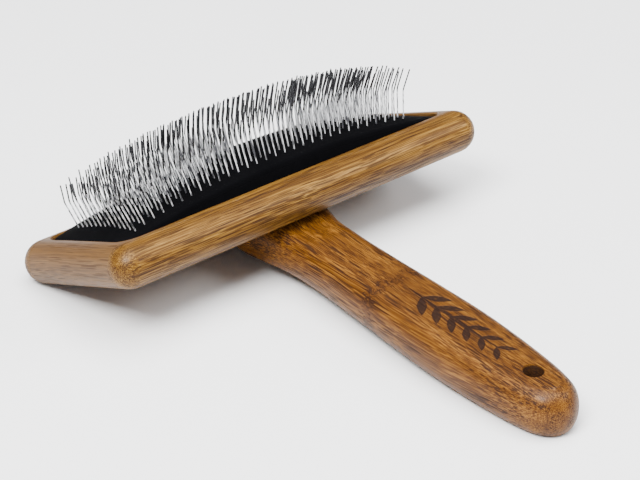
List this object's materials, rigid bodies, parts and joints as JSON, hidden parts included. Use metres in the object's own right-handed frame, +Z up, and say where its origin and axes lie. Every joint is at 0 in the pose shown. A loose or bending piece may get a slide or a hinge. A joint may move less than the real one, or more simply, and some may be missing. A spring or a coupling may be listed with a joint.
{
  "type": "slicker brush",
  "caption": "Pet slicker brush with a rectangular bamboo tray head, a domed black pin pad of bent wire pins and a bamboo handle with a hang hole.",
  "frame": {"origin": "bottom centre of the whole brush as it lies at rest: handle underside and far edge of the head on the table", "axes": "+X along the head, to the right seen from the handle; +Y from the handle towards the head; +Z up, the side the pins point to"},
  "size_m": [0.145, 0.1726, 0.0535],
  "materials": {
    "bamboo_head": "satin lacquered bamboo",
    "bamboo_handle": "satin lacquered carbonised bamboo",
    "bamboo_panel": "satin lacquered bamboo",
    "former_wood": "raw",
    "dowel_wood": "raw",
    "cushion_foam": "matt closed-cell foam",
    "pad_rubber": "semi-matt rubber face on cloth",
    "pin_steel": "bright drawn wire",
    "screw_steel": "zinc plated"
  },
  "bodies": {
    "brush_body": {"front_rail": "bamboo_head", "rear_rail": "bamboo_head", "left_end_rail": "bamboo_head", "right_end_rail": "bamboo_head", "base_panel": "bamboo_panel", "corner_dowel_left_front": "dowel_wood", "corner_dowel_left_rear": "dowel_wood", "corner_dowel_right_front": "dowel_wood", "corner_dowel_right_rear": "dowel_wood", "handle_dowel_left": "dowel_wood", "handle_dowel_right": "dowel_wood", "handle_screw_left": "screw_steel", "handle_screw_right": "screw_steel", "pad_former": "former_wood", "cushion": "cushion_foam", "handle": "bamboo_handle"},
    "pin_bed": {"foundation": "pad_rubber", "pin_row_01": "pin_steel", "pin_row_02": "pin_steel", "pin_row_03": "pin_steel", "pin_row_04": "pin_steel", "pin_row_05": "pin_steel", "pin_row_06": "pin_steel", "pin_row_07": "pin_steel", "pin_row_08": "pin_steel", "pin_row_09": "pin_steel", "pin_row_10": "pin_steel", "pin_row_11": "pin_steel", "pin_row_12": "pin_steel", "pin_row_13": "pin_steel"}
  },
  "joints": [
    {"name": "cushion_press", "type": "slide", "parent": "brush_body", "child": "pin_bed", "axis": [0, -0.3987, -0.9171], "range_m": [0, 0.0015], "stiffness_N_per_m": 6000, "deforming": ["cushion"]}
  ]
}
